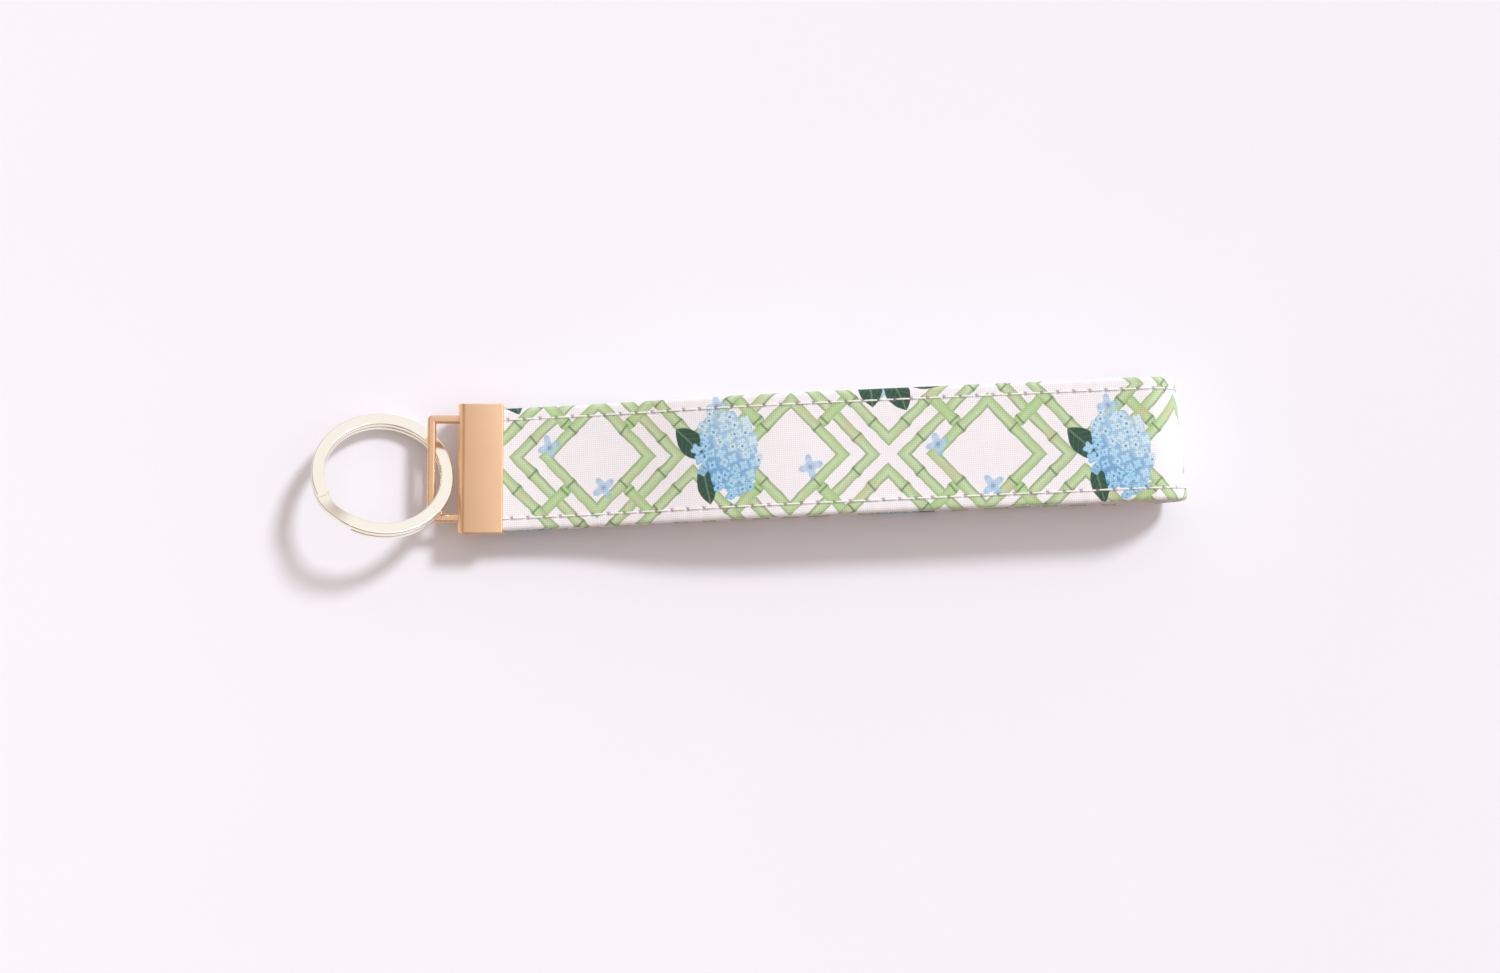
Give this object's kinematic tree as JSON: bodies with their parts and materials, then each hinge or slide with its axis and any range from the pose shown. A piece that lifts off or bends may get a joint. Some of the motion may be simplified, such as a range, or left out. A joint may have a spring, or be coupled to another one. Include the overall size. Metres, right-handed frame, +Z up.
{
  "type": "wristlet keychain",
  "caption": "Doubled cloth wrist strap closed by a toothed metal clamp, with a hinged rectangular bail and a split ring for keys.",
  "frame": {"origin": "bottom centre of the whole object's bounding box, on the table under the hand loop", "axes": "+X along the strap from the clamp to the fold, +Y across the strap, +Z up from the table"},
  "size_m": [0.1776, 0.0273, 0.0165],
  "materials": {
    "printed_cloth": "matt woven cotton, printed with a cane trellis and blue flower heads",
    "lining_cloth": "matt woven cotton, same print",
    "stiffener": "plain white webbing",
    "thread": "white polyester sewing thread",
    "satin_gold": "satin pale rose gold plating",
    "polished_gold": "polished pale gold plating"
  },
  "bodies": {
    "strap": {"face_fabric": "printed_cloth", "stiffener": "stiffener", "lining_fabric": "lining_cloth", "needle_thread_near": "thread", "needle_thread_far": "thread", "bobbin_thread_near": "thread", "bobbin_thread_far": "thread", "end_basting": "thread", "clamp": "satin_gold"},
    "bail": {"bail": "satin_gold"},
    "ring": {"split_ring": "polished_gold"}
  },
  "joints": [
    {"name": "bail_pivot", "type": "hinge", "parent": "strap", "child": "bail", "pos_m": [-0.05692, 0.00055, 0.00655], "axis": [0.0489, 0.9988, 0], "range_deg": [-25, 25]},
    {"name": "ring_swing", "type": "hinge", "parent": "bail", "child": "ring", "pos_m": [-0.06456, 0.00092, 0.00655], "axis": [0.0489, 0.9988, 0], "range_deg": [-60, 25]}
  ]
}
